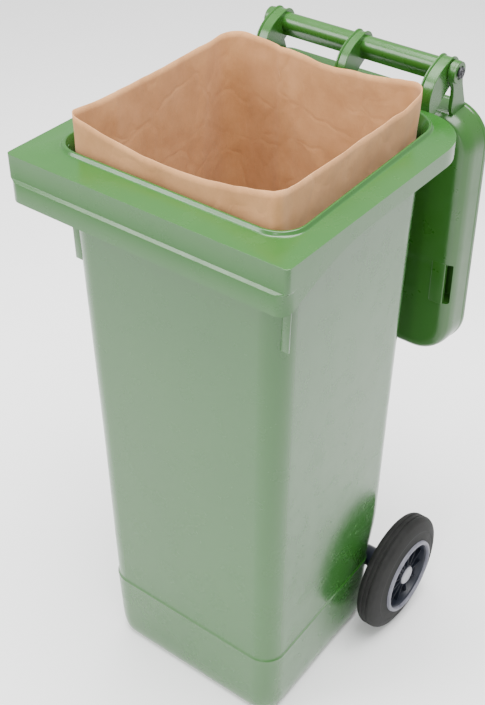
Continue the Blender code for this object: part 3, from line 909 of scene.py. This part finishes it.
def build_wheel(side, name):
    body = "wheel_" + name
    tyre = turned(tyre_profile(), 112, AXLE, side, closed=True)
    add_piece("tyre_tread_" + name, tyre, body, rubber, ["tyre_" + name], sharp=40)
    dish_node = "wheel_rim_" + name
    add_piece("rim_dish_" + name, rim_dish(side), body, rim_dark, [dish_node], sharp=40)
    ring_rows = soften([
        (0.2264, 0.0607, 0),
        (0.2290, 0.0612, 0.001),
        (0.2312, 0.0625, 0.001),
        (0.2312, 0.0645, 0.001),
        (0.2300, 0.0672, 0.001),
        (0.2264, 0.0680, 0),
    ])
    ring = turned(ring_rows, 112, AXLE, side, closed=True)
    add_piece("rim_ring_" + name, ring, body, ring_grey, sharp=40)
    cap_rows = soften([
        (0.2208, 0.0092, 0),
        (0.2226, 0.0094, 0),
        (0.2226, 0.0166, 0.0004),
        (0.2240, 0.0168, 0.0006),
        (0.2262, 0.0140, 0.001),
        (0.2256, 0.0085, 0.001),
        (0.2262, 0.0040, 0.001),
        (0.2263, 0.0004, 0),
    ])
    cap = turned(cap_rows, 64, AXLE, side)
    add_piece("cap_" + name, cap, body, cap_grey, ["hub_cap_" + name], sharp=40)
    for node in ("lock_pin_", "axle_washer_"):
        repaint(node + name, zinc)
    build_spring(side, name)


def repaint(node, material):
    """Give a CAD node that stays visible its procedural finish."""
    data = frame["nodes"][node].data
    data.materials.clear()
    data.materials.append(material)


# ---------------------------------------------------------------- paper liner


PAPER_ROWS = 96


def liner_top(x, y):
    """Height of the sack's open edge: low at the front, with peaks towards its corners."""
    half = LINER_HIGH[0]
    reach = 0.058 if x < 0 else 0.030
    front = smooth_step(y, LINER_LOW[1] + reach, LINER_LOW[1] + 0.004)
    across = x / half
    front_edge = 0.9770 + 0.0240 * across * across
    rear_corner = smooth_step(y, LINER_HIGH[1] - 0.075, LINER_HIGH[1]) * smooth_step(across, 0.35, 1.0)
    left = exp(-((across + 0.80) / 0.30) ** 2)
    left_peak = smooth_step(y, LINER_HIGH[1] - 0.080, LINER_HIGH[1]) * left
    back_dip = smooth_step(y, LINER_HIGH[1] - 0.040, LINER_HIGH[1]) * exp(-(across / 0.22) ** 2)
    other = 0.9945 + 0.0125 * rear_corner + 0.006 * left_peak - 0.0060 * back_dip
    ragged = 0.0010 * noise.noise(Vector((x * 40, y * 40, 3.1)))
    return FOOT_HEIGHT + front * front_edge + (1 - front) * other + ragged


def liner_section(height):
    """Half width, front, rear and the front and rear corner radii of the sack at a height."""
    sections = (
        (0.0200, 0.1470, 0.0740, 0.3560, 0.012, 0.032),
        (0.1300, 0.1530, 0.0690, 0.3625, 0.012, 0.034),
        (0.2400, 0.1555, 0.0680, 0.3950, 0.012, 0.036),
        (0.8080, 0.1655, 0.0620, 0.4030, 0.012, 0.036),
        (0.9400, 0.1675, 0.0620, 0.4035, 0.012, 0.034),
        (1.0200, 0.1685, 0.0615, 0.4035, 0.012, 0.028),
    )
    level = height - FOOT_HEIGHT
    for low, high in zip(sections, sections[1:]):
        if level <= high[0]:
            break
    part = min(max((level - low[0]) / (high[0] - low[0]), 0), 1)
    return [one + (two - one) * part for one, two in zip(low[1:], high[1:])]


# Creases pressed into the paper: start and end on the wall, depth and width
CREASES = (
    ("rear", (-0.0745, 0.10), (-0.0745, 1.02), 0.0030, 0.006),
    ("rear", (0.1000, 0.55), (0.1350, 1.02), 0.0022, 0.008),
    ("rear", (0.0200, 0.80), (-0.0600, 0.90), 0.0016, 0.010),
    ("right", (0.2950, 0.80), (0.3700, 0.98), 0.0026, 0.009),
    ("right", (0.3700, 0.90), (0.2300, 0.86), 0.0018, 0.010),
    ("left", (0.1500, 0.30), (0.1500, 1.00), 0.0022, 0.007),
    ("left", (0.3000, 0.50), (0.3400, 1.00), 0.0020, 0.009),
    ("front", (-0.0200, 0.50), (-0.0200, 1.00), 0.0016, 0.008),
    ("rear", (-0.0745, 0.60), (-0.0745, 1.02), 0.0030, 0.003),
    ("right", (0.0900, 0.70), (0.0900, 1.02), 0.0018, 0.004),
)


def crease(wall, along, height):
    total = 0.0
    for side, start, end, depth, width in CREASES:
        if side != wall:
            continue
        run = (end[0] - start[0], end[1] - start[1])
        length = hypot(*run)
        off = ((along - start[0]) * run[1] - (height - start[1]) * run[0]) / length
        part = ((along - start[0]) * run[0] + (height - start[1]) * run[1]) / length ** 2
        fade = smooth_step(part, -0.15, 0.1) * smooth_step(part, 1.15, 0.9)
        total += depth * fade * exp(-abs(off) / width)
    return total


def liner_point(x, y, height, outward):
    """Push a point of the sack in or out: slow bulges, crumples and pressed creases."""
    place = Vector((x, y, height))
    free = smooth_step(height, 0.930, 0.985)
    slow = noise.noise(place * 7.0) * (0.0010 + 0.0020 * free)
    crumple = abs(noise.noise(place * 21.0)) * (0.0010 + 0.0016 * free)
    along_y = y - FRONT
    if abs(outward.x) > abs(outward.y):
        wall = "right" if outward.x > 0 else "left"
        pressed = crease(wall, along_y, height)
    else:
        wall = "rear" if outward.y > 0 else "front"
        pressed = crease(wall, x, height)
    return place + outward * (slow - crumple - pressed)


def build_liner():
    loops = []
    for row in range(PAPER_ROWS + 1):
        part = row / PAPER_ROWS
        level = LINER_LOW[2] + (LINER_HIGH[2] - LINER_LOW[2]) * part
        half, front, rear, *radii = liner_section(level)
        outline = rounded_outline(half, FRONT + front, FRONT + rear, *radii)
        count = len(outline)
        loop = []
        for index, (x, y) in enumerate(outline):
            ahead = outline[(index + 1) % count]
            behind = outline[index - 1]
            outward = Vector((ahead[1] - behind[1], behind[0] - ahead[0], 0)).normalized()
            stretch = smooth_step(level, 0.80, LINER_HIGH[2])
            height = level + (liner_top(x, y) - LINER_HIGH[2]) * stretch
            loop.append(liner_point(x, y, height, outward))
        loops.append(loop)
    mesh = loft(loops, capped=False)
    mesh.verts.ensure_lookup_table()
    mesh.faces.new(list(reversed(mesh.verts[: len(loops[0])])))
    bmesh.ops.triangulate(mesh, faces=[face for face in mesh.faces if len(face.verts) > 4])
    liner = add_piece("paper_sack", mesh, "liner", paper, ["paper_liner"], sharp=60)
    bpy.context.view_layer.objects.active = liner
    shell = liner.modifiers.new("thickness", "SOLIDIFY")
    shell.thickness = 0.0010
    shell.offset = 0.0
    graph = bpy.context.evaluated_depsgraph_get()
    thick = bpy.data.meshes.new_from_object(liner.evaluated_get(graph))
    liner.modifiers.clear()
    liner.data = thick
    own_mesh(liner)


# ---------------------------------------------------------------- studio


def add_light(name, place, target, size, power):
    data = bpy.data.lights.new(name, "AREA")
    data.shape = "RECTANGLE"
    data.size, data.size_y = size
    data.energy = power
    lamp = bpy.data.objects.new(name, data)
    lamp.location = place
    lamp.rotation_euler = (Vector(target) - Vector(place)).to_track_quat("-Z", "Y").to_euler()
    bpy.context.collection.objects.link(lamp)


def build_studio():
    mesh = bmesh.new()
    bmesh.ops.create_grid(mesh, x_segments=1, y_segments=1, size=8.0)
    data = bpy.data.meshes.new("floor")
    mesh.to_mesh(data)
    mesh.free()
    floor = bpy.data.objects.new("floor", data)
    nodes = Nodes("studio_floor")
    tone = nodes.noise(1.5, 2.0)
    pale = nodes.ramp(tone, [(0.3, (0.93, 0.93, 0.93)), (0.7, (0.95, 0.95, 0.95))])
    nodes.link(pale, nodes.shader.inputs["Base Color"])
    nodes.set(Roughness=0.9)
    data.materials.append(nodes.material)
    bpy.context.collection.objects.link(floor)

    world = bpy.data.worlds.new("studio")
    world.use_nodes = True
    world.node_tree.nodes["Background"].inputs["Color"].default_value = (1, 1, 1, 1)
    world.node_tree.nodes["Background"].inputs["Strength"].default_value = 1.0
    bpy.context.scene.world = world
    add_light("key", (-1.7, -2.3, 2.7), (0, 0, 0.6), (1.4, 1.8), 95)
    add_light("top", (0.2, 0.0, 3.4), (0, 0, 0.5), (2.6, 2.6), 300)
    add_light("corner", (1.0, -2.6, 1.5), (0.15, -0.2, 0.5), (0.25, 2.2), 26)


def build_camera():
    """Portrait camera in front and to the right, looking down at the bin."""
    data = bpy.data.cameras.new("camera")
    data.sensor_width = 36.0
    data.lens = 62.79
    camera = bpy.data.objects.new("camera", data)
    camera.location = (0.8886, FRONT - 0.9463, FOOT_HEIGHT + 1.7203)
    camera.rotation_euler = (radians(52.4), 0.0, radians(37.5))
    bpy.context.collection.objects.link(camera)
    bpy.context.scene.camera = camera


build_camera()
build_body()
build_handle()
build_lid()
for wheel_side, wheel_name in ((1, "right"), (-1, "left")):
    build_wheel(wheel_side, wheel_name)
repaint("axle", zinc)
build_liner()
build_studio()
